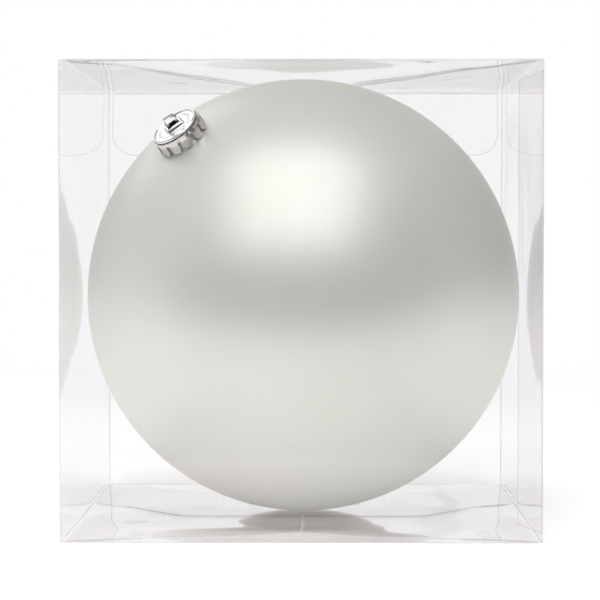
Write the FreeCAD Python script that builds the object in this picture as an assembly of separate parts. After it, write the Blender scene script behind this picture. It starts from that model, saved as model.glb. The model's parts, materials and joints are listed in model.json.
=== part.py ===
import FreeCAD, Part
import math
import os

# A pearl-lacquered glass ball with a metal crown cap and a wire hanger, in a clear folding box.
# Millimetres, +Z up. The origin is the centre of the box's bottom face, and the front faces -Y.

# ---- driving dimensions ----

# glass ball
ball_diameter = 200.0
glass_wall = 1.2
neck_diameter = 20.0
neck_height = 6.6
neck_root_radius = 2.0
ball_lean = 45.0            # degrees that the neck leans from upright
ball_heading = 222.0        # degrees from +X towards which it leans
hanger_heading = 150.0      # degrees that the hanger and slot are turned about the neck

# crown cap
cap_height = 7.8            # skirt's lower edge to the disc's top
cap_sheet = 0.4
neck_fit = 0.4              # between the neck and the skirt, on the radius
lip_room = 0.25             # least gap from the neck's lip to the cap's disc
skirt_flare = 0.9           # how far the tabs stand out at their lower edge
bead_radius = 0.65
tab_count = 12
notch_width = 1.1
notch_share = 0.62          # notch height as a share of the skirt
plinth_length = 9.0
plinth_width = 8.2
plinth_height = 1.1
slot_length = 5.8
slot_width = 4.6

# wire hanger
wire_diameter = 1.1
slot_fit = 0.3              # between the wire and the slot's end
loop_height = 4.6           # above the plinth
loop_half_width = 3.1       # at the loop's widest, on the wire's centre line
loop_top_half_width = 1.9
hanger_travel = 6.0
leg_spread_length = 15.0
leg_foot_length = 2.5

# clear box
film = 0.3
side_room = 0.8             # ball to wall, on each side
rest_room = 0.3             # ball to floor
top_room = 0.7              # ball to lid
crease_room = 0.1           # dust flap to lid
glue_flap_width = 10.3
glue_flap_taper = 4.0
tuck_flap_depth = 33.0
tuck_flap_tilt = 10.0       # degrees that it hangs inwards of upright
tuck_flap_room = 0.4        # lid's rear edge to the back wall
tuck_flap_side_room = 2.0
tuck_corner_radius = 12.0
tuck_crease_gap = 0.09      # tuck flap to lid
dust_flap_reach = 78.0      # from the side wall's outer face
dust_flap_front_room = 3.0
dust_flap_slope = 0.52      # how fast the tapered edge runs in, mm across for each mm back
dust_flap_tip_radius = 6.0
tuck_sweep_room = 1.0       # dust flap to the tuck flap as that swings past
bottom_side_reach = 62.0
bottom_hook_taper = 20.0    # how far the hooks' front edges run back towards the middle
bottom_hook_gap = 0.5       # between the two hooks
bottom_hook_room = 12.0     # hooks' rear edges to the tongue's riser
bottom_overlap = 22.0       # front and back bottom flaps past the middle
bottom_edge_room = 1.5
tongue_width = 52.0
tongue_length = 16.0
tongue_slot_room = 0.5

# ---- derived sizes ----

ball_radius = ball_diameter / 2
neck_radius = neck_diameter / 2
bore_radius = neck_radius - glass_wall
inner_half = ball_radius + side_room
outer_half = inner_half + film
floor_top = 3 * film
ball_centre_z = floor_top + rest_room + ball_radius
box_height = floor_top + rest_room + ball_diameter + top_room + film
lid_under = box_height - film
dust_flap_top = lid_under - crease_room
tuck_tilt = math.radians(tuck_flap_tilt)
# the tilted flap's upper inner edge rises towards the lid, the more so the thicker the film is
tuck_start = (film + tuck_crease_gap + film * math.sin(tuck_tilt)) / math.cos(tuck_tilt)
wire_radius = wire_diameter / 2

skirt_inner = neck_radius + neck_fit
skirt_outer = skirt_inner + cap_sheet
bead_centre = skirt_outer + bead_radius / 2
# the cap goes down until its tabs are just above the ball's shoulder, or a low cap until it meets the lip
shoulder = math.sqrt(ball_radius ** 2 - skirt_inner ** 2) + neck_fit
lip = ball_radius + neck_height
disc_top = max(shoulder + cap_height, lip + lip_room + cap_sheet)
skirt_low = disc_top - cap_height
disc_under = disc_top - cap_sheet
plinth_top = disc_top + plinth_height

os.makedirs("parts", exist_ok=True)


# ---- helpers ----

def vec(x, y, z):
    return FreeCAD.Vector(x, y, z)


def block(low, high):
    """A box between two corners."""
    size = [b - a for a, b in zip(low, high)]
    return Part.makeBox(size[0], size[1], size[2], vec(*low))


def plate(points, low_z, thickness):
    """A flat plate with a polygon outline in plan."""
    corners = [vec(x, y, low_z) for x, y in points]
    outline = Part.makePolygon(corners + corners[:1])
    return Part.Face(outline).extrude(vec(0, 0, thickness))


def round_upright_edges(solid, places, radius):
    """Fillets the edges that run along Z at the given (x, y) places."""
    picked = []
    for edge in solid.Edges:
        ends = [v.Point for v in edge.Vertexes]
        if len(ends) < 2 or abs(ends[0].z - ends[1].z) < film / 2:
            continue
        for x, y in places:
            if all(math.hypot(p.x - x, p.y - y) < film for p in ends):
                picked.append(edge)
    return solid.makeFillet(radius, picked)


def revolve(points):
    """A full turn about Z of a closed outline given as (radius, z)."""
    corners = [vec(r, 0, z) for r, z in points]
    face = Part.Face(Part.makePolygon(corners + corners[:1]))
    return face.revolve(vec(0, 0, 0), vec(0, 0, 1), 360)


def ornament_place():
    """Where the ornament sits: leaning, with its ball resting over the box's floor."""
    lean = FreeCAD.Rotation(vec(0, 1, 0), ball_lean)
    heading = FreeCAD.Rotation(vec(0, 0, 1), ball_heading)
    return FreeCAD.Placement(vec(0, 0, ball_centre_z), heading.multiply(lean))


def place_ornament_piece(solid):
    """From the ornament's own axes (ball's centre, neck along +Z) into the box."""
    solid.transformShape(ornament_place().toMatrix())
    return solid


def turned_to_hanger(solid):
    solid.rotate(vec(0, 0, 0), vec(0, 0, 1), hanger_heading)
    return solid


def save(name, solid):
    solid.exportStep("parts/" + name + ".step")


# ---- ornament ----

def glass_ball():
    outside = Part.makeSphere(ball_radius).fuse(Part.makeCylinder(neck_radius, lip))
    root = [e for e in outside.Edges if is_neck_root(e)]
    outside = outside.makeFillet(neck_root_radius, root)
    inside = Part.makeSphere(ball_radius - glass_wall)
    inside = inside.fuse(Part.makeCylinder(bore_radius, lip + glass_wall))
    return outside.cut(inside)


def is_neck_root(edge):
    """True for the circle where the neck leaves the sphere."""
    height = math.sqrt(ball_radius ** 2 - neck_radius ** 2)
    centre = edge.BoundBox.Center
    return abs(centre.z - height) < 0.01 and abs(edge.BoundBox.XMax - neck_radius) < 0.01


def crown():
    """The cap's disc, rolled bead and flared skirt, before the notches."""
    flare = skirt_flare
    shell = revolve([
        (0, disc_under),
        (skirt_inner, disc_under),
        (skirt_inner + flare, skirt_low),
        (skirt_outer + flare, skirt_low),
        (skirt_outer, disc_under),
        (skirt_outer, disc_top),
        (0, disc_top),
    ])
    bead = Part.makeTorus(bead_centre - bead_radius, bead_radius, vec(0, 0, disc_top - bead_radius))
    bore = Part.makeCylinder(skirt_inner, cap_height, vec(0, 0, disc_under - cap_height))
    return shell.fuse(bead.cut(bore))


def notch(turn):
    """One round-topped notch between two tabs."""
    height = notch_share * cap_height
    reach = skirt_outer + skirt_flare + cap_sheet
    radius = notch_width / 2
    slit = block((0, -radius, skirt_low - cap_sheet), (reach, radius, skirt_low + height - radius))
    crest = Part.makeCylinder(radius, reach, vec(0, 0, skirt_low + height - radius), vec(1, 0, 0))
    cut = slit.fuse(crest)
    cut.rotate(vec(0, 0, 0), vec(0, 0, 1), turn)
    return cut


def cap():
    body = crown()
    for i in range(tab_count):
        body = body.cut(notch(360.0 * (i + 0.5) / tab_count))
    plinth = block(
        (-plinth_length / 2, -plinth_width / 2, disc_under),
        (plinth_length / 2, plinth_width / 2, plinth_top),
    )
    slot = block(
        (-slot_length / 2, -slot_width / 2, disc_under - cap_sheet),
        (slot_length / 2, slot_width / 2, plinth_top + cap_sheet),
    )
    body = body.fuse(turned_to_hanger(plinth)).cut(turned_to_hanger(slot))
    return body.removeSplitter()


def hanger_half():
    """Points of the wire's centre line from the loop's middle to one foot, as (across, z)."""
    leg = slot_length / 2 - slot_fit - wire_radius
    spread = bore_radius - wire_radius - neck_fit
    top = plinth_top + loop_height - wire_radius
    waist = plinth_top + wire_radius
    parallel_end = disc_under - hanger_travel - cap_sheet
    foot = parallel_end - leg_spread_length
    return [
        (loop_top_half_width, top),
        (loop_half_width, waist + (top - waist) * 0.3),
        (leg, waist),
        (leg, parallel_end),
        (spread, foot),
        (spread, foot - leg_foot_length),
    ]


def wire_run(start, end):
    """A straight piece of wire with a ball at its start, so that bends are round."""
    run = Part.makeCylinder(wire_radius, start.distanceToPoint(end), start, end - start)
    return [run, Part.makeSphere(wire_radius, start)]


def hanger():
    half = hanger_half()
    path = [vec(-x, 0, z) for x, z in reversed(half)] + [vec(x, 0, z) for x, z in half]
    pieces = []
    for start, end in zip(path, path[1:]):
        pieces += wire_run(start, end)
    pieces.append(Part.makeSphere(wire_radius, path[-1]))
    wire = pieces[0].multiFuse(pieces[1:])
    return turned_to_hanger(wire)


# ---- clear box ----

def front_panel():
    return block((-outer_half, -outer_half, 0), (outer_half, -inner_half, lid_under))


def back_panel():
    return block((-outer_half, inner_half, 0), (outer_half, outer_half, box_height))


def side_panel(side):
    """The wall on the left (-1) or right (+1), up to the dust flap that folds over it."""
    xs = sorted((side * inner_half, side * outer_half))
    top = dust_flap_top - film
    return block((xs[0], -inner_half, 0), (xs[1], inner_half, top))


def glue_flap():
    """The strip of the right wall that is glued inside the front wall."""
    low, high = glue_flap_taper, dust_flap_top - film - glue_flap_taper
    inner = inner_half - glue_flap_width
    corners = [
        (inner_half, low),
        (inner, low + glue_flap_taper),
        (inner, high - glue_flap_taper),
        (inner_half, high),
    ]
    points = [vec(x, -inner_half, z) for x, z in corners]
    return Part.Face(Part.makePolygon(points + points[:1])).extrude(vec(0, film, 0))


def lid_panel():
    rear = inner_half - tuck_flap_room
    return block((-outer_half, -outer_half, lid_under), (outer_half, rear, box_height))


def tuck_flap():
    """The lid's flap, hung from the lid's rear crease and tilted inwards."""
    half = inner_half - tuck_flap_side_room
    flap = plate(
        [
            (-half, tuck_start),
            (half, tuck_start),
            (half, tuck_flap_depth),
            (-half, tuck_flap_depth),
        ],
        -film,
        film,
    )
    corners = [(-half, tuck_flap_depth), (half, tuck_flap_depth)]
    flap = round_upright_edges(flap, corners, tuck_corner_radius)
    # the plan's Y turns into the way down from the crease, then the flap tilts inwards
    flap.rotate(vec(0, 0, 0), vec(1, 0, 0), -90 - tuck_flap_tilt)
    flap.translate(vec(0, inner_half - tuck_flap_room, box_height))
    return flap


def dust_flap(side):
    """A flap under the lid: straight at the rear, tapered on the side of the lid's crease."""
    tuck_reach = tuck_flap_room + tuck_flap_depth * math.sin(tuck_tilt) + film
    rear = inner_half - tuck_reach - tuck_sweep_room
    front = -outer_half + dust_flap_front_room
    tip_front = front + dust_flap_reach / dust_flap_slope
    tip = outer_half - dust_flap_reach
    points = [
        (side * outer_half, front),
        (side * tip, tip_front),
        (side * tip, rear),
        (side * outer_half, rear),
    ]
    flap = plate(points, dust_flap_top - film, film)
    return round_upright_edges(flap, points[1:3], dust_flap_tip_radius)


def bottom_side_flap(side):
    """A flap in the middle layer of the bottom, with a hook that reaches the middle at the front."""
    edge = inner_half - bottom_edge_room
    tip = inner_half - bottom_side_reach
    tip_half = edge - bottom_side_reach * 0.75
    hook_tip = bottom_hook_gap / 2
    hook_rear = bottom_overlap - film - bottom_hook_room
    points = [
        (side * inner_half, -edge),
        (side * hook_tip, bottom_hook_taper - edge),
        (side * hook_tip, hook_rear),
        (side * tip, hook_rear),
        (side * tip, tip_half),
        (side * inner_half, edge),
    ]
    return plate(points, film, film)


def bottom_main_outline(facing):
    """Front (-1) or back (+1) bottom flap: full width at its crease, narrower past the middle."""
    edge = inner_half - bottom_edge_room
    neck = edge - 2 * bottom_overlap
    return [
        (-edge, facing * inner_half),
        (edge, facing * inner_half),
        (edge, facing * bottom_overlap),
        (neck, -facing * bottom_overlap),
        (-neck, -facing * bottom_overlap),
        (-edge, facing * bottom_overlap),
    ]


def bottom_front_flap():
    """The outermost bottom flap, whose tongue comes up through the back flap's slot."""
    flap = plate(bottom_main_outline(-1), 0, film)
    half = tongue_width / 2
    riser = block((-half, bottom_overlap - film, 0), (half, bottom_overlap, 4 * film))
    tongue = block(
        (-half, bottom_overlap - film, 3 * film),
        (half, bottom_overlap + tongue_length, 4 * film),
    )
    return flap.fuse(riser).fuse(tongue).removeSplitter()


def bottom_back_flap():
    """The innermost bottom flap, which the ball rests over."""
    flap = plate(bottom_main_outline(1), 2 * film, film)
    half = tongue_width / 2 + tongue_slot_room
    slot = block(
        (-half, bottom_overlap - film - tongue_slot_room, film),
        (half, bottom_overlap + tongue_slot_room, 4 * film),
    )
    return flap.cut(slot)


save("glass_ball", place_ornament_piece(glass_ball()))
save("cap", place_ornament_piece(cap()))
save("hanger", place_ornament_piece(hanger()))

save("front_panel", front_panel())
save("back_panel", back_panel())
save("left_panel", side_panel(-1))
save("right_panel", side_panel(1))
save("glue_flap", glue_flap())
save("lid_panel", lid_panel())
save("tuck_flap", tuck_flap())
save("left_dust_flap", dust_flap(-1))
save("right_dust_flap", dust_flap(1))
save("bottom_left_flap", bottom_side_flap(-1))
save("bottom_right_flap", bottom_side_flap(1))
save("bottom_front_flap", bottom_front_flap())
save("bottom_back_flap", bottom_back_flap())

print("box", 2 * outer_half, "x", 2 * outer_half, "x", box_height)
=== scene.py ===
# %% [markdown]
# # A pearl glass ball in its clear folding box
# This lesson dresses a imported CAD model: a big glass ball ornament with a stamped metal cap and a wire
# hanger, standing in a box folded from clear film. The CAD frame says where every piece is and what it
# moves with. Blender only makes the pieces look real, so each finished mesh lies exactly where the
# frame's own node lies.

# %% Load the frame
import json
import math
import bmesh
import bpy
import numpy as np
from mathutils import Matrix, Vector, geometry, noise


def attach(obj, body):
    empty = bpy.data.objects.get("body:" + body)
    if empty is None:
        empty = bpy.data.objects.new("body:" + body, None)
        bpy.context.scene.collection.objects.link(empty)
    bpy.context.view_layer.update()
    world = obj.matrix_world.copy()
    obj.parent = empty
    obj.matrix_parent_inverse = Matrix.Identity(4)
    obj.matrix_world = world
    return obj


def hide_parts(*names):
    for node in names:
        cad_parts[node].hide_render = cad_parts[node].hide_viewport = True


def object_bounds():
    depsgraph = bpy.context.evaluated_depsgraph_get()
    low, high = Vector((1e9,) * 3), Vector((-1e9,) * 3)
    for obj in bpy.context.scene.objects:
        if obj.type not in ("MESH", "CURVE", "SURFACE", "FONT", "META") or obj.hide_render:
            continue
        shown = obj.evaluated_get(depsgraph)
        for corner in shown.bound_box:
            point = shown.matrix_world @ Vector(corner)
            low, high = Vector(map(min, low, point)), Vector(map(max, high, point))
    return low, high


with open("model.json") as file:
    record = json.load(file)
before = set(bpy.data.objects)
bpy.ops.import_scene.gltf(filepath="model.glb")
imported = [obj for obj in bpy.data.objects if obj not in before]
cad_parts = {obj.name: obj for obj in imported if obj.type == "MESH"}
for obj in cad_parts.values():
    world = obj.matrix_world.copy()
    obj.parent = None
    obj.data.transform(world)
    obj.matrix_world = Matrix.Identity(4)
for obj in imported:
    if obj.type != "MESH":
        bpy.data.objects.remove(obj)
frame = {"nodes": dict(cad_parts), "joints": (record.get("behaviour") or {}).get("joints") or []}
cad_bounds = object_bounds()
MM = 0.001
box_low, box_high = Vector(cad_bounds[0]), Vector(cad_bounds[1])
box_size = box_high - box_low
box_centre = (box_low + box_high) / 2
print("box, mm:", [round(s / MM, 1) for s in box_size])

# %% [markdown]
# ## Measuring the ornament
# The ball leans in its box, so its own axis isn't one of the frame's. The axis is the one that the cap
# pulls off along, which the frame's joint gives exactly. The ball's centre and radius come from fitting
# a sphere to the CAD node's points: every point of a sphere satisfies one linear equation, so least
# squares finds all four unknowns at once.

# %% The ball's centre and radius, and the ornament's own axes
joints = {j["name"]: j for j in frame["joints"]}
neck_axis = Vector(joints["cap_pull"]["axis"]).normalized()


def cad_points(node):
    """The points of a CAD node's mesh, as rows."""
    return np.array([v.co for v in frame["nodes"][node].data.vertices], float)


def fit_sphere(points):
    rows = np.c_[2 * points, np.ones(len(points))]
    answer = np.linalg.lstsq(rows, (points ** 2).sum(1), rcond=None)[0]
    centre = answer[:3]
    return Vector(centre), math.sqrt(answer[3] + centre @ centre)


ball_points = cad_points("glass_ball")
far_from_middle = np.linalg.norm(ball_points - np.array(box_centre), axis=1)
outer_points = ball_points[far_from_middle > np.median(far_from_middle)]
below_neck = outer_points @ np.array(neck_axis) < box_size.x * 0.4 + box_centre @ neck_axis
ball_centre, ball_radius = fit_sphere(outer_points[below_neck])
print("ball centre", [round(c / MM, 2) for c in ball_centre], "radius", round(ball_radius / MM, 2))

# %% The direction that the hanger's loop spreads in
wire_points = cad_points("hanger") - np.array(ball_centre)
flat = wire_points - wire_points.mean(0)
spread = np.linalg.svd(flat, full_matrices=False)[2]
loop_normal = Vector(spread[2])
loop_across = loop_normal.cross(neck_axis).normalized()
loop_normal = neck_axis.cross(loop_across)

to_box = Matrix((loop_across, loop_normal, neck_axis)).transposed().to_4x4()
to_box.translation = ball_centre
print("loop spreads along", [round(c, 3) for c in loop_across])


def neck_sizes(node):
    """(height above the ball's centre, distance from the neck's axis) of a CAD node's points."""
    local = (cad_points(node) - np.array(ball_centre)) @ np.array(to_box.to_3x3())
    return local[:, 2], np.hypot(local[:, 0], local[:, 1])


# %% Sizes of the neck and the cap, read from the CAD nodes
ball_h, ball_r = neck_sizes("glass_ball")
cap_h, cap_r = neck_sizes("cap")
wire_h, wire_r = neck_sizes("hanger")

lip_height = ball_h.max()
at_lip = ball_h > lip_height - 0.01 * MM
neck_radius = ball_r[at_lip].max()
bore_radius = ball_r[at_lip].min()
skirt_low = cap_h.min()
plinth_top = cap_h.max()
skirt_reach = cap_r[cap_h < skirt_low + 0.1 * MM].max()
skirt_inner = cap_r[cap_h < skirt_low + 0.1 * MM].min()
for label, size in (("neck", neck_radius), ("bore", bore_radius), ("lip", lip_height),
                    ("cap from", skirt_low), ("cap to", plinth_top), ("cap reach", skirt_reach)):
    print(label, round(size / MM, 2))

# %% [markdown]
# ## Node trees written as text
# Materials and Geometry Nodes are both trees of nodes. Two small classes make them readable. `Wire`
# wraps one output socket, so that `1 - mask * 0.3` adds the Math nodes by itself. `Tree.add` places any
# other node: its type, then its settings, then what goes into its sockets.

# %% Two classes for node trees
class Wire:
    """One output socket. Arithmetic on it adds Math nodes."""

    def __init__(self, tree, socket):
        self.tree = tree
        self.socket = socket

    def math(self, operation, *others):
        return self.tree.math(operation, self, *others)

    def __add__(self, other):
        return self.tree.math("ADD", self, other)

    def __radd__(self, other):
        return self.tree.math("ADD", other, self)

    def __sub__(self, other):
        return self.tree.math("SUBTRACT", self, other)

    def __rsub__(self, other):
        return self.tree.math("SUBTRACT", other, self)

    def __mul__(self, other):
        return self.tree.math("MULTIPLY", self, other)

    def __rmul__(self, other):
        return self.tree.math("MULTIPLY", other, self)

    def __truediv__(self, other):
        return self.tree.math("DIVIDE", self, other)

    def __rtruediv__(self, other):
        return self.tree.math("DIVIDE", other, self)

    def __pow__(self, other):
        return self.tree.math("POWER", self, other)

    def size(self):
        """The value without its sign."""
        return self.math("ABSOLUTE")

    def positive(self):
        """The value, or 0 where it is negative."""
        return self.math("MAXIMUM", 0.0)

    def ease(self, start, end):
        """0 below start, 1 above end, and a smooth step between them."""
        settings = {"interpolation_type": "SMOOTHSTEP"}
        sockets = {"Value": self, "From Min": start, "From Max": end}
        return self.tree.add("ShaderNodeMapRange", settings, sockets)["Result"]


class Placed:
    """A node in a tree, whose outputs come out as Wires."""

    def __init__(self, tree, node):
        self.tree = tree
        self.node = node

    def __getitem__(self, name):
        return Wire(self.tree, self.node.outputs[name])


class Tree:
    """A node tree that is being filled."""

    def __init__(self, tree):
        self.tree = tree
        tree.nodes.clear()

    def add(self, kind, settings=None, sockets=None):
        node = self.tree.nodes.new(kind)
        for name, value in (settings or {}).items():
            if name == "stops":
                self.set_stops(node.color_ramp, value)
            else:
                setattr(node, name, value)
        for name, value in (sockets or {}).items():
            self.feed(node.inputs[name], value)
        return Placed(self, node)

    def feed(self, socket, value):
        if isinstance(value, Wire):
            self.tree.links.new(value.socket, socket)
        elif value is not None:
            socket.default_value = value

    def math(self, operation, *values):
        return self.add("ShaderNodeMath", {"operation": operation}, dict(enumerate(values)))["Value"]

    def set_stops(self, ramp, stops):
        while len(ramp.elements) > 1:
            ramp.elements.remove(ramp.elements[-1])
        for i, (place, shade) in enumerate(stops):
            element = ramp.elements[0] if i == 0 else ramp.elements.new(place)
            element.position = place
            element.color = (*shade, 1)

    def mix(self, share, a, b):
        """Two colours mixed by a share from 0 to 1."""
        sockets = {0: share, 6: colour(a), 7: colour(b)}
        return Wire(self, self.add("ShaderNodeMix", {"data_type": "RGBA"}, sockets).node.outputs[2])


def colour(value):
    """A colour as Blender wants it, or a link as it is."""
    return value if isinstance(value, Wire) else (*value, 1)


def material(name, build):
    """A new material, whose shader the build function returns."""
    made = bpy.data.materials.new(name)
    made.use_nodes = True
    tree = Tree(made.node_tree)
    shader = build(tree)
    tree.add("ShaderNodeOutputMaterial", {}, {"Surface": shader})
    return made


def object_place(tree, scale=1.0):
    """Object coordinates, which are metres in the frame's own axes, times a scale."""
    here = tree.add("ShaderNodeTexCoord")["Object"]
    sockets = {"Vector": here, "Scale": (scale, scale, scale)}
    return tree.add("ShaderNodeMapping", {}, sockets)["Vector"]


def mottle(tree, scale, detail=2.0, rough=0.5):
    """Soft noise from 0 to 1, with so many lumps to the metre."""
    sockets = {"Vector": object_place(tree), "Scale": scale, "Detail": detail, "Roughness": rough}
    return tree.add("ShaderNodeTexNoise", {}, sockets)["Fac"]


# %% [markdown]
# ## Pearl lacquer
# The ball is blown glass under an opaque pearl lacquer with a satin surface: no sharp reflections, but
# a broad soft highlight and a darker band where it faces the dim side of the room. Fine flakes do that,
# and they reflect like a blurred metal more than like paint. So the shader is a Principled one that is
# part metallic with a high roughness. Very faint clouds, a few specks of dust under the lacquer and a
# fine orange-peel bump keep it from looking like a computer's sphere.

# %% Pearl lacquer material
PEARL = (0.85, 0.85, 0.80)
PEARL_DEEP = (0.815, 0.817, 0.76)
SPECK = (0.55, 0.54, 0.50)


def pearl_lacquer(tree):
    clouds = mottle(tree, 14.0, 3.0)
    grain = mottle(tree, 900.0, 2.0)
    cell = tree.add(
        "ShaderNodeTexVoronoi", {"feature": "F1"},
        {"Vector": object_place(tree), "Scale": 85.0, "Randomness": 1.0},
    )
    dust = (1 - cell["Distance"].ease(0.03, 0.06)) * mottle(tree, 30.0).ease(0.52, 0.60)
    shade = tree.mix(clouds.ease(0.3, 0.75), PEARL, PEARL_DEEP)
    shade = tree.mix(dust * 0.5, shade, SPECK)
    bump = tree.add(
        "ShaderNodeBump", {},
        {"Strength": 0.05, "Distance": 0.0004, "Height": grain},
    )["Normal"]
    return tree.add("ShaderNodeBsdfPrincipled", {}, {
        "Base Color": shade,
        "Metallic": 0.44,
        "Roughness": 0.38 + clouds * 0.05,
        "IOR": 1.5,
        "Normal": bump,
    })["BSDF"]


# Near-black material for the neck above the lacquer: painted shade for the hollow under the cap's skirt.
def painted_shade_neck_shader(tree):
    streaks = mottle(tree, 160.0, 2.0)
    return tree.add("ShaderNodeBsdfPrincipled", {}, {
        "Base Color": tree.mix(streaks, (0.01, 0.01, 0.01), (0.03, 0.03, 0.027)),
        "Roughness": 0.25 + streaks * 0.15,
        "Specular IOR Level": 0.25,
    })["BSDF"]


pearl = material("pearl lacquer", pearl_lacquer)
neck_shade_material = material("neck painted shade", painted_shade_neck_shader)

# %% [markdown]
# ## Bright metal
# The cap is stamped from thin bright sheet and the hanger is bent from drawn wire. Both are nearly
# mirrors. A touch of roughness that varies in patches, where fingers and the press have been, breaks
# the mirror up, and the wire gets a fine noise for its drawing lines. The skirt gets a darker copy of
# the cap's metal, which is painted shade on the cap's side.

# %% Metals
CAP_METAL = (0.86, 0.86, 0.85)
# The skirt's colour below is the cap metal darkened: painted shade on the cap's side.
SHADED_SKIRT_COLOUR = (0.64, 0.62, 0.60)
WIRE_METAL = (0.80, 0.79, 0.77)


def bright_metal(base, smooth, worn, lumps):
    """A shader builder for bright metal with patches of two roughnesses."""

    def build(tree):
        patches = mottle(tree, lumps, 4.0, 0.6).ease(0.35, 0.7)
        dents = mottle(tree, lumps * 2.5, 2.0)
        bump = tree.add(
            "ShaderNodeBump", {},
            {"Strength": 0.12, "Distance": 0.0003, "Height": dents},
        )["Normal"]
        return tree.add("ShaderNodeBsdfPrincipled", {}, {
            "Base Color": tree.mix(patches * 0.5, base, [c * 0.86 for c in base]),
            "Metallic": 1.0,
            "Roughness": smooth + patches * (worn - smooth),
            "Normal": bump,
        })["BSDF"]

    return build


cap_metal = material("stamped cap metal", bright_metal(CAP_METAL, 0.06, 0.16, 260.0))
# The skirt's material carries that painted shade.
skirt_painted_shade = material("darkened skirt metal, painted shade", bright_metal(SHADED_SKIRT_COLOUR, 0.05, 0.18, 300.0))
wire_metal = material("drawn wire", bright_metal(WIRE_METAL, 0.16, 0.28, 900.0))

# %% [markdown]
# ## Clear film
# The box is 0.3 mm polyester film. It is almost invisible face on and almost a mirror edge on, and that
# change with the angle is what makes it read as film. The Fresnel node would treat the far face of each
# sheet as glass seen from inside and turn it into a full mirror, so the same curve is written out from
# Layer Weight's Facing instead: a small constant plus the fifth power. It mixes a see-through shader
# with a sharp glossy one, so light still falls straight through onto the ball. Creases and cut edges
# scatter light, so the narrow strip along every edge gets its own denser, lilac-grey material.

# %% Film materials
FILM_CLEAR = (0.990, 0.987, 0.990)
FILM_GLOSS = (0.985, 0.975, 0.985)
FACE_ON_GLOSS = 0.015
CREASE = (0.86, 0.83, 0.88)
CREASE_DENSITY = 0.10
CREASE_PATCHES = 0.18


def clear_film(tree):
    through = tree.add("ShaderNodeBsdfTransparent", {}, {"Color": colour(FILM_CLEAR)})["BSDF"]
    haze = mottle(tree, 25.0, 2.0)
    gloss = tree.add("ShaderNodeBsdfPrincipled", {}, {
        "Base Color": colour(FILM_GLOSS),
        "Metallic": 1.0,
        "Roughness": 0.02 + haze * 0.05,
    })["BSDF"]
    facing = tree.add("ShaderNodeLayerWeight", {}, {"Blend": 0.5})["Facing"]
    share = FACE_ON_GLOSS + facing ** 5 * (0.9 - FACE_ON_GLOSS)
    return tree.add("ShaderNodeMixShader", {}, {0: share, 1: through, 2: gloss})["Shader"]


def crease_film(tree):
    through = tree.add("ShaderNodeBsdfTransparent", {}, {"Color": colour(FILM_CLEAR)})["BSDF"]
    milky = tree.add("ShaderNodeBsdfPrincipled", {}, {
        "Base Color": colour(CREASE),
        "Roughness": 0.3,
    })["BSDF"]
    dense = CREASE_DENSITY + mottle(tree, 60.0, 2.0) * CREASE_PATCHES
    return tree.add("ShaderNodeMixShader", {}, {0: dense, 1: through, 2: milky})["Shader"]


film = material("clear film", clear_film)
crease = material("crease and cut edge", crease_film)
print("materials:", [m.name for m in bpy.data.materials if m.users == 0])

# %% [markdown]
# ## Helpers for finished meshes
# Every finished piece is a plain mesh with its place in its vertices. `bake` reads the mesh that an
# object's modifiers make, throws the modifiers away and gives back a clean object at the origin.

# %% Make, bake and join
def new_object(name, mesh):
    made = bpy.data.objects.new(name, mesh)
    bpy.context.scene.collection.objects.link(made)
    return made


def mesh_from(name, points, faces, shades=(), marks=None):
    """An object from points and faces, with its materials and each face's material number."""
    mesh = bpy.data.meshes.new(name)
    mesh.from_pydata([tuple(p) for p in points], [], faces)
    for shade in shades:
        mesh.materials.append(shade)
    if marks is not None:
        mesh.polygons.foreach_set("material_index", marks)
    mesh.polygons.foreach_set("use_smooth", [True] * len(mesh.polygons))
    mesh.update()
    return new_object(name, mesh)


def bake(obj, place=None):
    """The object's evaluated mesh as a plain object, moved by a matrix if one is given."""
    bpy.context.view_layer.update()
    graph = bpy.context.evaluated_depsgraph_get()
    mesh = bpy.data.meshes.new_from_object(obj.evaluated_get(graph), depsgraph=graph)
    name = obj.name
    bpy.data.objects.remove(obj)
    mesh.name = name
    if place is not None:
        mesh.transform(place)
    return new_object(name, mesh)


def tidy_mesh(obj, gap=1e-6, split_angle=None):
    """Merges doubles, turns every face outwards, and marks edges sharper than the angle."""
    work = bmesh.new()
    work.from_mesh(obj.data)
    bmesh.ops.remove_doubles(work, verts=work.verts, dist=gap)
    bmesh.ops.recalc_face_normals(work, faces=work.faces)
    if split_angle is not None:
        for edge in work.edges:
            if len(edge.link_faces) == 2 and edge.calc_face_angle() > split_angle:
                edge.smooth = False
    work.to_mesh(obj.data)
    work.free()
    obj.data.update()
    return obj


def join(name, pieces):
    """One object from several plain ones, keeping their materials."""
    whole = bmesh.new()
    shades = []
    for piece in pieces:
        first = len(whole.faces)
        whole.from_mesh(piece.data)
        whole.faces.ensure_lookup_table()
        for face in whole.faces[first:]:
            shade = piece.data.materials[face.material_index]
            if shade not in shades:
                shades.append(shade)
            face.material_index = shades.index(shade)
        bpy.data.objects.remove(piece)
    mesh = bpy.data.meshes.new(name)
    whole.to_mesh(mesh)
    whole.free()
    for shade in shades:
        mesh.materials.append(shade)
    return new_object(name, mesh)


# %% Geometry Nodes helpers
def nodes_group(name, sizes):
    """A Geometry Nodes tree with named inputs. sizes maps each name to its socket type."""
    group = bpy.data.node_groups.new(name, "GeometryNodeTree")
    group.interface.new_socket("Geometry", in_out="INPUT", socket_type="NodeSocketGeometry")
    group.interface.new_socket("Geometry", in_out="OUTPUT", socket_type="NodeSocketGeometry")
    for label, kind in sizes.items():
        group.interface.new_socket(label, in_out="INPUT", socket_type=kind)
    tree = Tree(group)
    return group, tree, tree.add("NodeGroupInput")


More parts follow.
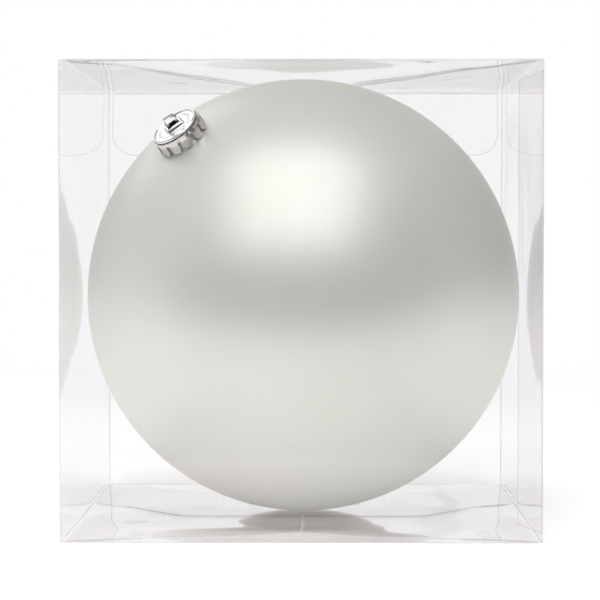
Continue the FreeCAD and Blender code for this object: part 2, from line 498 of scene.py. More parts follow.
def finish_group(tree, shape, given):
    """Ends a tree: real geometry, smooth shading and the material."""
    real = tree.add("GeometryNodeRealizeInstances", {}, {"Geometry": shape})["Geometry"]
    smooth = tree.add("GeometryNodeSetShadeSmooth", {}, {"Geometry": real})["Geometry"]
    sockets = {"Geometry": smooth, "Material": given["Material"]}
    done = tree.add("GeometryNodeSetMaterial", {}, sockets)["Geometry"]
    tree.add("NodeGroupOutput", {}, {"Geometry": done})


def run_group(obj, group, values):
    """Adds the tree to an object as a modifier, and sets its inputs by their identifiers."""
    modifier = obj.modifiers.new(group.name, "NODES")
    modifier.node_group = group
    for item in group.interface.items_tree:
        if item.item_type == "SOCKET" and item.in_out == "INPUT" and item.name in values:
            modifier[item.identifier] = values[item.name]
    return obj


# %% [markdown]
# ## A lathe in Geometry Nodes
# The ball and the cap's disc are both turned shapes: one outline, carried round an axis. The tree below
# is a lathe. It takes the outline as a row of points (distance from the axis, nothing, height), makes a
# flat grid with a row for each of them, and wraps the grid round: across the grid is the angle, up the
# grid is the outline. Merging the doubles closes the seam and the poles. Ribs can be pressed in too:
# a wave round the axis, only between two radii.

# %% The lathe
LATHE_SIZES = {
    "Rows": "NodeSocketInt",
    "Segments": "NodeSocketInt",
    "Ribs": "NodeSocketFloat",
    "Rib Height": "NodeSocketFloat",
    "Rib Start": "NodeSocketFloat",
    "Rib End": "NodeSocketFloat",
    "Weld": "NodeSocketFloat",
    "Material": "NodeSocketMaterial",
}


def build_lathe():
    group, tree, given = nodes_group("lathe", LATHE_SIZES)
    grid = tree.add("GeometryNodeMeshGrid", {}, {
        "Size X": 1.0,
        "Size Y": 1.0,
        "Vertices X": given["Segments"] + 1,
        "Vertices Y": given["Rows"],
    })["Mesh"]
    here = tree.add("GeometryNodeInputPosition")["Position"]
    flat = tree.add("ShaderNodeSeparateXYZ", {}, {"Vector": here})
    angle = (flat["X"] + 0.5) * (2 * math.pi)
    row = ((flat["Y"] + 0.5) * (given["Rows"] - 1)).math("ROUND")
    outline_point = tree.add(
        "GeometryNodeSampleIndex", {"data_type": "FLOAT_VECTOR", "domain": "POINT"},
        {"Geometry": given["Geometry"], "Index": row, "Value": here},
    )["Value"]
    outline = tree.add("ShaderNodeSeparateXYZ", {}, {"Vector": outline_point})
    radius, height = outline["X"], outline["Z"]
    middle = (given["Rib Start"] + given["Rib End"]) * 0.5
    near = (1 - (radius - middle).size() / (given["Rib End"] - middle)).positive()
    wave = (angle * given["Ribs"]).math("COSINE")
    lift = wave * near * given["Rib Height"]
    turned = tree.add("ShaderNodeCombineXYZ", {}, {
        "X": radius * angle.math("COSINE"),
        "Y": radius * angle.math("SINE"),
        "Z": height + lift,
    })["Vector"]
    shape = tree.add("GeometryNodeSetPosition", {}, {"Geometry": grid, "Position": turned})["Geometry"]
    welded = tree.add(
        "GeometryNodeMergeByDistance", {},
        {"Geometry": shape, "Distance": given["Weld"]},
    )["Geometry"]
    finish_group(tree, welded, given)
    return group


lathe = build_lathe()


def turn(name, outline, shade, segments, ribs=0, rib_height=0.0, rib_from=0.0, rib_to=1.0):
    """A turned shape from an outline of (radius, height) pairs."""
    row = mesh_from(name, [(r, 0, z) for r, z in outline], [])
    run_group(row, lathe, {
        "Rows": len(outline),
        "Segments": segments,
        "Ribs": float(ribs),
        "Rib Height": rib_height,
        "Rib Start": rib_from,
        "Rib End": rib_to,
        "Weld": 1e-6,
        "Material": shade,
    })
    return bake(row)


def arc(centre_r, centre_z, radius, start, end, steps):
    """Points of an arc in the (radius, height) plane, angles in degrees from level."""
    turns = [math.radians(start + (end - start) * i / steps) for i in range(steps + 1)]
    return [(centre_r + radius * math.cos(t), centre_z + radius * math.sin(t)) for t in turns]


# %% [markdown]
# ## The glass ball
# The ball is one closed shell. Its outline starts at the bottom of the outside, climbs the sphere,
# sweeps out through a small fillet into the neck, rolls over the fire-polished lip, and comes back down
# the inside. The fillet is tangent to the sphere and the neck, so its centre is found from the two
# distances that it has to keep. The lacquer stops just above the fillet, and the neck above it gets a
# near-black material: painted shade for the dark gap between the neck and the cap's notches.

# %% Turn the ball
glass_wall = neck_radius - bore_radius
root_fillet = 2.0 * MM
LACQUER_ABOVE_BALL = 2.0 * MM


def ball_outline():
    reach = ball_radius + root_fillet
    beside = neck_radius + root_fillet
    fillet_z = math.sqrt(reach ** 2 - beside ** 2)
    meets = math.degrees(math.atan2(fillet_z, beside))
    inside = ball_radius - glass_wall
    inner_end = math.degrees(math.acos(bore_radius / inside))
    lip_r = glass_wall / 2
    outside = arc(0, 0, ball_radius, -90, meets, 150)
    root = arc(beside, fillet_z, root_fillet, meets + 180, 180, 8)
    neck_foot = root[-1][1]
    neck = [(neck_radius, neck_foot + 0.8 * MM * i) for i in range(1, 4)]
    lip = arc(neck_radius - lip_r, lip_height - lip_r, lip_r, 0, 180, 8)
    within = arc(0, 0, inside, inner_end, -90, 80)
    points = outside + root + neck + lip + within
    points[0] = (0, -ball_radius)
    points[-1] = (0, -inside)
    return points


ball = turn("pearl_ball", ball_outline(), pearl, 224)
lacquer_end = ball_radius + LACQUER_ABOVE_BALL
# The neck's faces above the lacquer take the near-black material, which is painted shade.
ball.data.materials.append(neck_shade_material)
for face in ball.data.polygons:
    on_neck = math.hypot(face.center.x, face.center.y) < neck_radius + 0.1 * MM
    if on_neck and face.center.z > lacquer_end:
        face.material_index = 1
ball.data.transform(to_box)
tidy_mesh(ball, 1e-6)
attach(ball, "ornament")
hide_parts("glass_ball")
print("ball:", len(ball.data.polygons), "faces")

# %% [markdown]
# ## Sheets of film
# Every panel of the box is a flat sheet with its own outline, and the CAD node already has that
# outline. So the sheet is read from it: the node's largest flat side is found, its border is walked
# round, and the inside is filled with a Delaunay mesh over a regular grid. A second border just inside
# the first makes the strip that gets the crease material. Then the sheet can bow, because film pushed
# by a ball never stays flat, and Solidify gives it its thickness.

# %% Read the outline of a sheet from its CAD node
SHEET_THICK = 0.25 * MM
CREASE_WIDTH = 0.55 * MM
GRID_STEP = 6.0 * MM


def flat_side(node, facing):
    """The border loops of the flat side of a CAD node that faces a direction, lowest layer outermost."""
    work = bmesh.new()
    work.from_mesh(frame["nodes"][node].data)
    bmesh.ops.remove_doubles(work, verts=work.verts, dist=1e-6)
    bmesh.ops.recalc_face_normals(work, faces=work.faces)
    facing = Vector(facing)
    side = [f for f in work.faces if f.normal.dot(facing) > 0.9]
    normal = max(side, key=lambda f: f.calc_area()).normal.copy()
    level = max(f.calc_center_median().dot(normal) for f in side if f.calc_area() > 1e-5)
    side = {f for f in side if abs(f.calc_center_median().dot(normal) - level) < 0.05 * MM}
    links = {}
    for face in side:
        for loop in face.loops:
            other = [f for f in loop.edge.link_faces if f is not face]
            if not other or other[0] not in side:
                links[loop.vert.index] = loop.link_loop_next.vert.index
    places = {v.index: v.co.copy() for v in work.verts}
    work.free()
    loops = []
    while links:
        start = next(iter(links))
        walk = [start]
        step = links.pop(start)
        while step != start:
            walk.append(step)
            step = links.pop(step)
        loops.append([places[i] for i in walk])
    return normal, loops


def plane_axes(normal):
    """Two directions in a sheet: across, and up or back."""
    across = Vector((0, 1, 0)) if abs(normal.x) > 0.9 else Vector((1, 0, 0))
    up = normal.cross(across).normalized()
    return up.cross(normal).normalized(), up


# %% Fill a flat outline with a fine mesh
def without_straights(loop):
    """A flat loop without the points that lie in line with their neighbours."""
    kept = []
    for i, point in enumerate(loop):
        before = point - loop[i - 1]
        after = loop[(i + 1) % len(loop)] - point
        turned = abs(before.normalized().cross(after.normalized()))
        if turned > 1e-3:
            kept.append(point)
    return kept


def inset(loop, width):
    """A flat loop moved inwards, to its left, by a width."""
    moved = []
    for i, point in enumerate(loop):
        before = (point - loop[i - 1]).normalized()
        after = (loop[(i + 1) % len(loop)] - point).normalized()
        left_before = Vector((-before.y, before.x))
        left_after = Vector((-after.y, after.x))
        middle = (left_before + left_after).normalized()
        moved.append(point + middle * (width / max(0.3, middle.dot(left_after))))
    return moved


def inside_of(point, loops):
    """True where a point is inside an odd number of loops."""
    crossings = 0
    for loop in loops:
        for a, b in zip(loop, loop[1:] + loop[:1]):
            if (a.y > point.y) != (b.y > point.y):
                at = a.x + (point.y - a.y) / (b.y - a.y) * (b.x - a.x)
                crossings += at > point.x
    return crossings % 2 == 1


def split_long(loop, step):
    """A loop with points added so that no side is longer than the step."""
    out = []
    for a, b in zip(loop, loop[1:] + loop[:1]):
        count = max(1, math.ceil((b - a).length / step))
        out += [a.lerp(b, i / count) for i in range(count)]
    return out


def fill_outline(loops, step, strip):
    """Points and triangles inside flat loops, and which triangles lie in the border strip."""
    loops = [without_straights(loop) for loop in loops]
    borders = [split_long(loop, step) for loop in loops]
    inner = [split_long(inset(loop, strip), step) for loop in loops]
    points = [p for loop in borders + inner for p in loop]
    edges = []
    for loop in borders + inner:
        first = len(edges)
        edges += [(first + i, first + (i + 1) % len(loop)) for i in range(len(loop))]
    xs = [p.x for p in points]
    ys = [p.y for p in points]
    guard = [split_long(inset(loop, strip + step * 0.4), step) for loop in loops]
    for i in range(1, math.ceil((max(xs) - min(xs)) / step)):
        for j in range(1, math.ceil((max(ys) - min(ys)) / step)):
            spot = Vector((min(xs) + i * step, min(ys) + j * step))
            if inside_of(spot, guard):
                points.append(spot)
    made = geometry.delaunay_2d_cdt(points, edges, [], 0, 1e-7)
    points, triangles = made[0], made[2]
    kept, marks = [], []
    for triangle in triangles:
        middle = sum((points[i] for i in triangle), Vector((0, 0))) / 3
        if inside_of(middle, loops):
            kept.append(list(triangle))
            marks.append(0 if inside_of(middle, inner) else 1)
    return points, kept, marks


# %% [markdown]
# ## How the film bows
# The ball presses each wall out a little where it touches, and the free parts of a panel ripple. The
# bow is a soft bump opposite the ball, plus slow noise from a fixed place, and both fade to nothing at
# the creases, so that neighbouring panels still meet there. The layers of the lid and of the bottom lie
# on each other, so they share one more field of humps that depends only on the place in the box and is
# flat under the ball and along the walls. Their ripples still fade differently, so the lid touches the
# right dust flap in one rear corner.

# %% Bow a sheet and give it its thickness
BOW = 0.9 * MM
BOW_SPREAD = 55 * MM
RIPPLE = 0.45 * MM
RIPPLE_LENGTH = 70 * MM
RIPPLE_SEED = 3.7
FINE_RIPPLE = 0.07 * MM
FINE_LENGTH = 24 * MM
FINE_SEED = 8.1
CREASE_FADE = 30 * MM
HUMP = 1.5 * MM
HUMP_LENGTH = 42 * MM
HUMP_MIDDLE = 0.6
HUMP_START = 48 * MM
HUMP_FULL = 85 * MM


def smooth_step(value, start, end):
    share = min(1.0, max(0.0, (value - start) / (end - start)))
    return share * share * (3 - 2 * share)


def hump(x, y, seed):
    """How far the stacked sheets of the lid or the bottom rise at a place in the box."""
    wall = box_size.x / 2 - max(abs(x - box_centre.x), abs(y - box_centre.y))
    away = math.hypot(x - ball_centre.x, y - ball_centre.y)
    lumps = HUMP_MIDDLE + noise.noise(Vector((x, y, 0)) / HUMP_LENGTH + Vector((0, 0, seed)))
    return HUMP * smooth_step(away, HUMP_START, HUMP_FULL) * smooth_step(wall, 0, CREASE_FADE) * lumps


def film_sheet(name, node, facing, bow=0.0, ripple=RIPPLE, seed=None):
    """A sheet of film in the place of a flat CAD node, its outer face where the node's is.

    A seed adds the humps that stacked sheets share."""
    normal, loops = flat_side(node, facing)
    across, up = plane_axes(normal)
    level = loops[0][0].dot(normal)
    flat_loops = [[Vector((p.dot(across), p.dot(up))) for p in loop] for loop in loops]
    points, faces, marks = fill_outline(flat_loops, GRID_STEP, CREASE_WIDTH)
    touch = Vector((ball_centre.dot(across), ball_centre.dot(up)))
    outer = flat_loops[0]
    low = Vector((min(p.x for p in outer), min(p.y for p in outer)))
    high = Vector((max(p.x for p in outer), max(p.y for p in outer)))
    places = []
    for p in points:
        rim = min(p.x - low.x, high.x - p.x, p.y - low.y, high.y - p.y)
        fade = smooth_step(rim, 0, CREASE_FADE)
        spot = across * p.x + up * p.y
        push = bow * math.exp(-((p - touch).length / BOW_SPREAD) ** 2)
        wave = ripple * noise.noise(spot / RIPPLE_LENGTH + normal * RIPPLE_SEED)
        wave += FINE_RIPPLE * (ripple > 0) * noise.noise(spot / FINE_LENGTH + normal * FINE_SEED)
        place = spot + normal * (level + fade * (push + wave))
        if seed is not None:
            place.z += hump(place.x, place.y, seed)
        places.append(place)
    sheet = mesh_from(name, places, faces, [film, crease], marks)
    thick = sheet.modifiers.new("thickness", "SOLIDIFY")
    thick.thickness = SHEET_THICK
    thick.offset = -1
    thick.use_rim = True
    thick.material_offset_rim = 1
    return bake(sheet)


# %% Make the panels
PANELS = [
    ("film_front", "front_panel", "box", (0, -1, 0), BOW),
    ("film_back", "back_panel", "box", (0, 1, 0), BOW),
    ("film_left", "left_panel", "box", (-1, 0, 0), BOW),
    ("film_right", "right_panel", "box", (1, 0, 0), BOW),
    ("film_glue_flap", "glue_flap", "box", (0, -1, 0), 0.0),
    ("film_lid", "lid_panel", "lid", (0, 0, 1), BOW),
    ("film_tuck_flap", "tuck_flap", "tuck", (0, 1, 0), 0.0),
    ("film_left_dust_flap", "left_dust_flap", "left_dust", (0, 0, 1), 0.0),
    ("film_right_dust_flap", "right_dust_flap", "right_dust", (0, 0, 1), 0.0),
    ("film_bottom_left", "bottom_left_flap", "box", (0, 0, -1), 0.0),
    ("film_bottom_right", "bottom_right_flap", "box", (0, 0, -1), 0.0),
    ("film_bottom_front", "bottom_front_flap", "box", (0, 0, -1), 0.0),
    ("film_bottom_back", "bottom_back_flap", "box", (0, 0, -1), 0.0),
]
BOTTOM = {"bottom_left_flap", "bottom_right_flap", "bottom_front_flap", "bottom_back_flap"}
TOP = {"lid_panel", "left_dust_flap", "right_dust_flap"}
STIFF = BOTTOM | {"glue_flap"}
BOTTOM_SEED = 5.3
TOP_SEED = 2.6


def with_tongue(flap):
    """The front bottom flap with its locking tongue: a top sheet and the short riser that carries it."""
    top = film_sheet("tongue", "bottom_front_flap", (0, 0, 1), 0.0, 0.0)
    corners = np.array([v.co for v in top.data.vertices])
    low, high = corners.min(0), corners.max(0)
    rear = low[1] + SHEET_THICK
    floor_z = box_low.z + SHEET_THICK
    ring = [(low[0], low[1]), (high[0], low[1]), (high[0], rear), (low[0], rear)]
    points = [(x, y, z) for z in (floor_z, low[2]) for x, y in ring]
    sides = [(i, (i + 1) % 4, (i + 1) % 4 + 4, i + 4) for i in range(4)]
    riser = mesh_from("riser", points, sides + [(3, 2, 1, 0), (4, 5, 6, 7)], [crease])
    return join(flap.name, [flap, top, riser])


for name, node, body, facing, bow in PANELS:
    ripple = 0.0 if node in STIFF else RIPPLE
    seed = BOTTOM_SEED if node in BOTTOM else TOP_SEED if node in TOP else None
    sheet = film_sheet(name, node, facing, bow, ripple, seed)
    if node == "bottom_front_flap":
        sheet = with_tongue(sheet)
    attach(sheet, body)
    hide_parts(node)
    print(name, len(sheet.data.polygons), "faces")

# %% [markdown]
# ## The crown cap
# The cap is stamped from one disc of sheet: a slightly dished top with fine radial ribs, a bead rolled
# round its edge, and a skirt that twelve narrow notches cut into round-ended tabs. Each tab is pressed
# a little proud, which leaves a valley running up from each notch. The top is turned on the lathe. One
# tab is cut from a flat sheet and wrapped round the neck, and a second tree copies it round.

# %% Sizes of the cap
TABS = 12
METAL_SHEET = 0.4 * MM
BEAD_RADIUS = 0.65 * MM
PLINTH_HEIGHT = 1.1 * MM
DISH = 0.45 * MM
NOTCH_HALF = 0.8 * MM
NOTCH_SHARE = 0.62
TAB_END_HALF = 0.5 * MM
TAB_END_HEIGHT = 3.1 * MM
TAB_PROUD = 0.30 * MM
TAB_STEP = 0.45 * MM
RIBS = 40
RIB_HEIGHT = 0.06 * MM

disc_top = plinth_top - PLINTH_HEIGHT
skirt_height = disc_top - skirt_low
flare = skirt_reach - METAL_SHEET - skirt_inner
top_radius = cap_r[np.abs(cap_h - disc_top + BEAD_RADIUS) < 0.3 * MM].max() - BEAD_RADIUS / 2
print("cap top", round(disc_top / MM, 2), "top radius", round(top_radius / MM, 2))


# %% The cap's top, on the lathe
def cap_top_outline():
    """From the middle of the top, over the bead, under it, and back along the inside."""
    bead_z = disc_top - BEAD_RADIUS
    bead_r = top_radius - BEAD_RADIUS / 2
    floor_z = disc_top - DISH
    foot = floor_z - 2.2 * MM
    wall = bead_r - METAL_SHEET / 2
    dish = [(0, floor_z + 0.15 * MM)]
    steps = 26
    for i in range(1, steps + 1):
        share = i / steps
        radius = share * (bead_r - BEAD_RADIUS)
        dish.append((radius, floor_z + 0.15 * MM * (1 - share ** 2)))
    bead = arc(bead_r, bead_z, BEAD_RADIUS, 160, -60, 14)
    under = [(wall + METAL_SHEET / 2, bead_z - BEAD_RADIUS), (wall + METAL_SHEET / 2, foot)]
    inside = [(wall - METAL_SHEET / 2, foot), (wall - METAL_SHEET / 2, floor_z - METAL_SHEET)]
    return dish + bead + under + inside + [(0, floor_z - METAL_SHEET)]


cap_top = turn(
    "cap_top", cap_top_outline()[::-1], cap_metal, 192,
    RIBS, RIB_HEIGHT, top_radius * 0.52, top_radius * 0.93,
)
print("cap top:", len(cap_top.data.polygons), "faces")


# %% Copies round an axis, in Geometry Nodes
def build_ring():
    group, tree, given = nodes_group("copies round an axis", {
        "Copies": "NodeSocketInt",
        "Weld": "NodeSocketFloat",
        "Material": "NodeSocketMaterial",
    })
    spots = tree.add("GeometryNodeMeshLine", {}, {"Count": given["Copies"], "Offset": (0, 0, 0)})["Mesh"]
    number = tree.add("GeometryNodeInputIndex")["Index"]
    step = 2 * math.pi / given["Copies"]
    spin = tree.add("ShaderNodeCombineXYZ", {}, {"Z": number * step})["Vector"]
    copies = tree.add("GeometryNodeInstanceOnPoints", {}, {
        "Points": spots,
        "Instance": given["Geometry"],
        "Rotation": spin,
    })["Instances"]
    real = tree.add("GeometryNodeRealizeInstances", {}, {"Geometry": copies})["Geometry"]
    welded = tree.add(
        "GeometryNodeMergeByDistance", {},
        {"Geometry": real, "Distance": given["Weld"]},
    )["Geometry"]
    finish_group(tree, welded, given)
    return group


ring = build_ring()


# %% One tab, wrapped and copied into a skirt
def tab_outline():
    """One tab laid flat: full width at the top, a square-topped notch down each side, a round end."""
    half = math.pi * skirt_inner / TABS
    notch_top = skirt_low + NOTCH_SHARE * skirt_height
    side = half - NOTCH_HALF
    top = disc_top - 2 * BEAD_RADIUS
    steps = 9
    end = []
    for i in range(steps + 1):
        turned = math.pi / 2 * i / steps
        x = side - (side - TAB_END_HALF) * (1 - math.cos(turned))
        end.append((x, skirt_low + TAB_END_HEIGHT * (1 - math.sin(turned))))
    left = [(-x, y) for x, y in end]
    start = [(half, top), (-half, top), (-half, notch_top), (-side, notch_top)]
    points = start + left + end[::-1] + [(side, notch_top), (half, notch_top)]
    return [Vector(p) for p in points]


def wrap_tab(point):
    """Where a point of the flat tab lies round the neck."""
    half = math.pi * skirt_inner / TABS
    angle = point.x / skirt_inner
    down = (disc_top - point.y) / skirt_height
    proud = TAB_PROUD * math.cos(point.x / half * math.pi / 2) * min(1.0, down * 2.5)
    radius = skirt_inner + METAL_SHEET + flare * max(0.0, down - 0.1) ** 1.3 + proud
    return (radius * math.cos(angle), radius * math.sin(angle), point.y)


tab_points, tab_faces = fill_outline([tab_outline()], TAB_STEP, TAB_STEP / 2)[:2]
# The skirt takes the darker metal, painted shade on the cap's side.
tab = mesh_from("cap_skirt", [wrap_tab(p) for p in tab_points], tab_faces, [skirt_painted_shade])
run_group(tab, ring, {"Copies": TABS, "Weld": 0.02 * MM, "Material": skirt_painted_shade})
tab_sheet = tab.modifiers.new("thickness", "SOLIDIFY")
tab_sheet.thickness = METAL_SHEET
tab_sheet.offset = -1
skirt = bake(tab)
print("skirt:", len(skirt.data.polygons), "faces")

# %% [markdown]
# ## Plinth and slot
# The middle of the top is stamped up into a small plinth with sloping sides, and the hanger's legs go
# through a slot in it. The plinth is rings of corners lofted together, following the sheet up its
# outside, over the top, down through the slot and back along its underside. The turned top is opened
# under it with a Boolean, so the slot looks black because it really opens into the neck.

# %% Plinth, slot and the joined cap
PLINTH_FOOT = (9.2 * MM, 8.4 * MM)
PLINTH_TOP = (7.8 * MM, 6.9 * MM)
SLOT = (5.8 * MM, 4.6 * MM)
SLOT_ROLL = 0.35 * MM
CORNER_SHARE = 0.22


def rounded_ring(size, height, smaller=0.0, steps=3):
    """The corners of a rectangle with rounded corners, at a height, made smaller all round."""
    half_x, half_y = size[0] / 2 - smaller, size[1] / 2 - smaller
    radius = CORNER_SHARE * min(half_x, half_y)
    points = []
    for quarter, (sx, sy) in enumerate(((1, 1), (-1, 1), (-1, -1), (1, -1))):
        for i in range(steps + 1):
            turned = math.radians(90 * (quarter + i / steps))
            x = sx * (half_x - radius) + radius * math.cos(turned)
            y = sy * (half_y - radius) + radius * math.sin(turned)
            points.append((x, y, height))
    return points


def loft(name, rings, shade, closed=False):
    """Joins equal rings of points one after another; closed joins the last to the first."""
    count = len(rings[0])
    faces = []
    for a in range(len(rings) if closed else len(rings) - 1):
        b = (a + 1) % len(rings)
        for i in range(count):
            j = (i + 1) % count
            faces.append((a * count + i, a * count + j, b * count + j, b * count + i))
    return mesh_from(name, [p for r in rings for p in r], faces, [shade])


def build_plinth():
    """Up the outside of the sheet, in over the top, down through the slot and back under it."""
    low = disc_top - DISH - METAL_SHEET
    under = plinth_top - METAL_SHEET
    rings = [
        rounded_ring(PLINTH_FOOT, low),
        rounded_ring(PLINTH_FOOT, disc_top - DISH + 0.1 * MM),
        rounded_ring(PLINTH_TOP, plinth_top - 0.15 * MM),
        rounded_ring(PLINTH_TOP, plinth_top, 0.2 * MM),
        rounded_ring(SLOT, plinth_top, -SLOT_ROLL),
        rounded_ring(SLOT, plinth_top - 0.2 * MM),
        rounded_ring(SLOT, under),
        rounded_ring(PLINTH_TOP, under, METAL_SHEET),
        rounded_ring(PLINTH_FOOT, low, METAL_SHEET),
    ]
    return loft("plinth", rings, cap_metal, closed=True)


def cut_slot(obj):
    """Opens a piece under the plinth, just inside the plinth's foot."""
    rings = [rounded_ring(PLINTH_FOOT, z, METAL_SHEET / 2) for z in (disc_top - 4 * MM, plinth_top + MM)]
    cutter = loft("slot cutter", rings, cap_metal)
    work = bmesh.new()
    work.from_mesh(cutter.data)
    bmesh.ops.holes_fill(work, edges=work.edges)
    bmesh.ops.recalc_face_normals(work, faces=work.faces)
    work.to_mesh(cutter.data)
    work.free()
    hole = obj.modifiers.new("slot", "BOOLEAN")
    hole.operation = "DIFFERENCE"
    hole.solver = "EXACT"
    hole.object = cutter
    cut = bake(obj)
    bpy.data.objects.remove(cutter)
    return cut


plinth = build_plinth()
tidy_mesh(plinth)
cap_top = cut_slot(tidy_mesh(cap_top))
cap = join("crown_cap", [cap_top, skirt, plinth])
cap.data.transform(to_box)
tidy_mesh(cap, 1e-7, math.radians(35))
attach(cap, "crown")
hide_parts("cap")
print("cap:", len(cap.data.polygons), "faces")

# %% [markdown]
# ## The wire hanger
# One piece of hard wire: a low loop with a flat top over the plinth, and two legs that go straight down
# through the slot and then spread until they press on the inside of the neck, which is what holds the
# cap on. The path is a few corners. A tree rounds them and sweeps a circle along, as a bending jig does.

# %% The bent wire, in Geometry Nodes
WIRE_RADIUS = 0.55 * MM
BEND_RADIUS = 0.9 * MM
LOOP_HALF = 3.1 * MM
LOOP_TOP_HALF = 1.9 * MM
SLOT_FIT = 0.3 * MM


def build_wire():
    group, tree, given = nodes_group("bent wire", {
        "Wire Radius": "NodeSocketFloat",
        "Bend Radius": "NodeSocketFloat",
        "Material": "NodeSocketMaterial",
    })
    path = tree.add("GeometryNodeMeshToCurve", {}, {"Mesh": given["Geometry"]})["Curve"]
    bent = tree.add("GeometryNodeFilletCurve", {"mode": "POLY"}, {
        "Curve": path,
        "Count": 6,
        "Radius": given["Bend Radius"],
        "Limit Radius": True,
    })["Curve"]
    section = tree.add("GeometryNodeCurvePrimitiveCircle", {"mode": "RADIUS"}, {
        "Resolution": 20,
        "Radius": given["Wire Radius"],
    })["Curve"]
    tube = tree.add("GeometryNodeCurveToMesh", {}, {
        "Curve": bent,
        "Profile Curve": section,
        "Fill Caps": True,
    })["Mesh"]
    finish_group(tree, tube, given)
    return group


def wire_path():
    """Corners of the wire's centre line, from one foot over the loop to the other."""
    leg = SLOT[0] / 2 - SLOT_FIT - WIRE_RADIUS
    top = wire_h.max() - WIRE_RADIUS
    foot = wire_h.min() + WIRE_RADIUS
    spread_r = wire_r.max() - WIRE_RADIUS
    waist = plinth_top + WIRE_RADIUS
    bend = foot + (top - foot) * 0.12
    parallel_end = disc_top - METAL_SHEET * 2 - 6 * MM
    half = [
        (LOOP_TOP_HALF, top),
        (LOOP_HALF, waist + (top - waist) * 0.3),
        (leg, waist),
        (leg, parallel_end),
        (spread_r, bend),
        (spread_r, foot),
    ]
    return [(-x, 0, z) for x, z in reversed(half)] + [(x, 0, z) for x, z in half]


corners = wire_path()
wire = mesh_from("wire_hanger", corners, [])
wire.data.edges.add(len(corners) - 1)
for i, edge in enumerate(wire.data.edges):
    edge.vertices = (i, i + 1)
run_group(wire, build_wire(), {
    "Wire Radius": WIRE_RADIUS,
    "Bend Radius": BEND_RADIUS,
    "Material": wire_metal,
})
wire = bake(wire, to_box)
tidy_mesh(wire, 1e-7, math.radians(50))
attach(wire, "wire")
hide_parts("hanger")
print("hanger:", len(wire.data.polygons), "faces")

# %% [markdown]
# ## Floor, light and camera
# The box stands on a pale table that ends a little way in front of it. One big soft box hangs above and in
# front, and a smaller one behind lights the cap's top. The room is dim behind the camera, pale at the
# left, darker on the right, which draws a dark side on the metal, and a white cloth with upright folds
# hangs far behind, which the film's walls mirror as streaks. The satin ball shows it all as soft bands.
# The camera itself sees plain white, as on a studio sweep: a Light Path node in the world tells camera
# rays from reflected ones. The table glows, painted light: a faint glow near the box lights the ball
# from below, and further off the glow rises to the same plain white.

# %% Table
TABLE_HALF = 6.0
TABLE_FRONT = 0.40
TABLE_PAINT = (0.93, 0.93, 0.93)
TABLE_GLOW = (0.40, 0.40, 0.39)


# Painted light: the table gives off TABLE_GLOW near the box, lighting the ball from below, and plain white
# far away, where its paint fades to black.
def table_paint_and_glow(tree):
    here = tree.add("ShaderNodeTexCoord")["Object"]
    away = tree.add("ShaderNodeVectorMath", {"operation": "LENGTH"}, {0: here})["Value"]
    far = away.ease(0.05, 1.3)
    return tree.add("ShaderNodeBsdfPrincipled", {}, {
        "Base Color": tree.mix(far, TABLE_PAINT, (0.0, 0.0, 0.0)),
        "Roughness": 0.7,
        "Specular IOR Level": 0.0,
        "Emission Color": tree.mix(far, TABLE_GLOW, (1.0, 1.0, 1.0)),
        "Emission Strength": 1.0,
    })["BSDF"]


table_low = box_low.z - 0.2 * MM
table_corners = [
    (-TABLE_HALF, -TABLE_FRONT, table_low),
    (TABLE_HALF, -TABLE_FRONT, table_low),
    (TABLE_HALF, TABLE_HALF, table_low),
    (-TABLE_HALF, TABLE_HALF, table_low),
]
table = mesh_from("table", table_corners, [(0, 1, 2, 3)], [material("glowing table", table_paint_and_glow)])

# %% Room
ROOM_LEVEL = 0.50
WHITE_BEHIND = 0.58
PALE_LEFT = 0.14
DIM_LEVEL = 0.16
DIM_TINT = (0.93, 0.965, 1.03)
DARK_RIGHT = 0.40
CLOTH_FOLDS = (28.0, 1.0, 7.0)
FOLD_EDGES = (0.36, 0.62)
FOLD_DARK = 0.65
FOLD_PALE = 0.7
ROOM_TINT = (1.0, 1.0, 0.985)


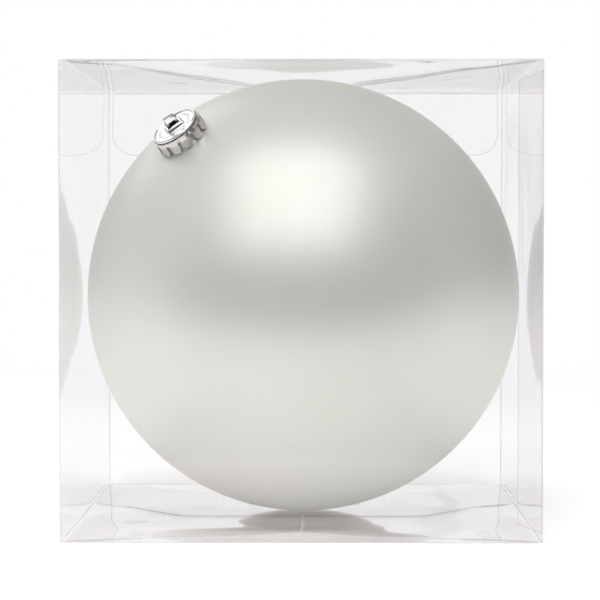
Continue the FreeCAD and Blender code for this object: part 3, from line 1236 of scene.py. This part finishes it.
def build_room():
    world = bpy.data.worlds.new("room")
    world.use_nodes = True
    bpy.context.scene.world = world
    tree = Tree(world.node_tree)
    way = tree.add("ShaderNodeTexCoord")["Generated"]
    axes = tree.add("ShaderNodeSeparateXYZ", {}, {"Vector": way})
    side, depth, height = axes["X"], axes["Y"], axes["Z"]
    behind = depth.ease(0.90, 0.975)
    left = (0 - side).ease(0.4, 0.95)
    dim = (0 - depth).ease(0.1, 0.6) * (1 - height.ease(0.15, 0.45))
    right = side.ease(0.35, 0.85) * (1 - height.ease(0.45, 0.8))
    stretched = tree.add("ShaderNodeMapping", {}, {"Vector": way, "Scale": CLOTH_FOLDS})["Vector"]
    folds = tree.add("ShaderNodeTexNoise", {}, {"Vector": stretched, "Scale": 1.0, "Detail": 2.0})["Fac"]
    cloth = behind * WHITE_BEHIND * (FOLD_DARK + folds.ease(*FOLD_EDGES) * FOLD_PALE)
    level = (ROOM_LEVEL + cloth + left * PALE_LEFT) * (1 - right * DARK_RIGHT)
    pale = tree.mix(level, (0, 0, 0), ROOM_TINT)
    room = tree.mix(dim, pale, [c * DIM_LEVEL for c in DIM_TINT])
    seen = tree.add("ShaderNodeLightPath")["Is Camera Ray"]
    shade = tree.mix(seen, room, (1.0, 1.0, 1.0))
    lit = tree.add("ShaderNodeBackground", {}, {"Color": shade, "Strength": 1.0})["Background"]
    tree.add("ShaderNodeOutputWorld", {}, {"Surface": lit})


build_room()


# %% Lights
def soft_box(name, elevation, azimuth, distance, size, brightness):
    """A square soft light that faces the ball. Azimuth 0 is behind the camera, and + is to the right."""
    light = bpy.data.lights.new(name, "AREA")
    light.shape = "RECTANGLE"
    light.size, light.size_y = size
    light.energy = brightness * math.pi * size[0] * size[1]
    lamp = bpy.data.objects.new(name, light)
    up, round_it = math.radians(elevation), math.radians(azimuth)
    way = Vector((math.sin(round_it) * math.cos(up), -math.cos(round_it) * math.cos(up), math.sin(up)))
    lamp.location = ball_centre + way * distance
    lamp.rotation_euler = way.to_track_quat("Z", "Y").to_euler()
    bpy.context.scene.collection.objects.link(lamp)
    return lamp


soft_box("key", 52, -6, 1.1, (1.2, 1.1), 1.8)
soft_box("cap light", 38, -141, 1.1, (0.55, 0.5), 0.9)

# %% Camera
HALF = box_size.x / 2
CAMERA_BACK = 9.5 * HALF
CAMERA_RIGHT = 0.09 * HALF
CAMERA_UP = 0.26 * HALF
FRAME_SHARE = 485 / 600          # how much of the frame's width the front wall fills
SENSOR = 36.0
AIM_RIGHT = -0.004 * HALF
AIM_UP = 0.007 * HALF

camera_data = bpy.data.cameras.new("camera")
camera_data.sensor_width = SENSOR
front_away = CAMERA_BACK - HALF
camera_data.lens = SENSOR * FRAME_SHARE * front_away / (2 * HALF)
camera = bpy.data.objects.new("camera", camera_data)
camera.location = box_centre + Vector((CAMERA_RIGHT, -CAMERA_BACK, CAMERA_UP))
aim = Vector((box_centre.x + AIM_RIGHT, box_low.y, box_centre.z + AIM_UP))
camera.rotation_euler = (camera.location - aim).to_track_quat("Z", "Y").to_euler()
bpy.context.scene.collection.objects.link(camera)
bpy.context.scene.camera = camera
bpy.context.scene.view_settings.view_transform = "Standard"
bpy.context.scene.cycles.transparent_max_bounces = 32
bpy.context.scene.cycles.caustics_reflective = False
print("lens", round(camera_data.lens, 1), "mm")
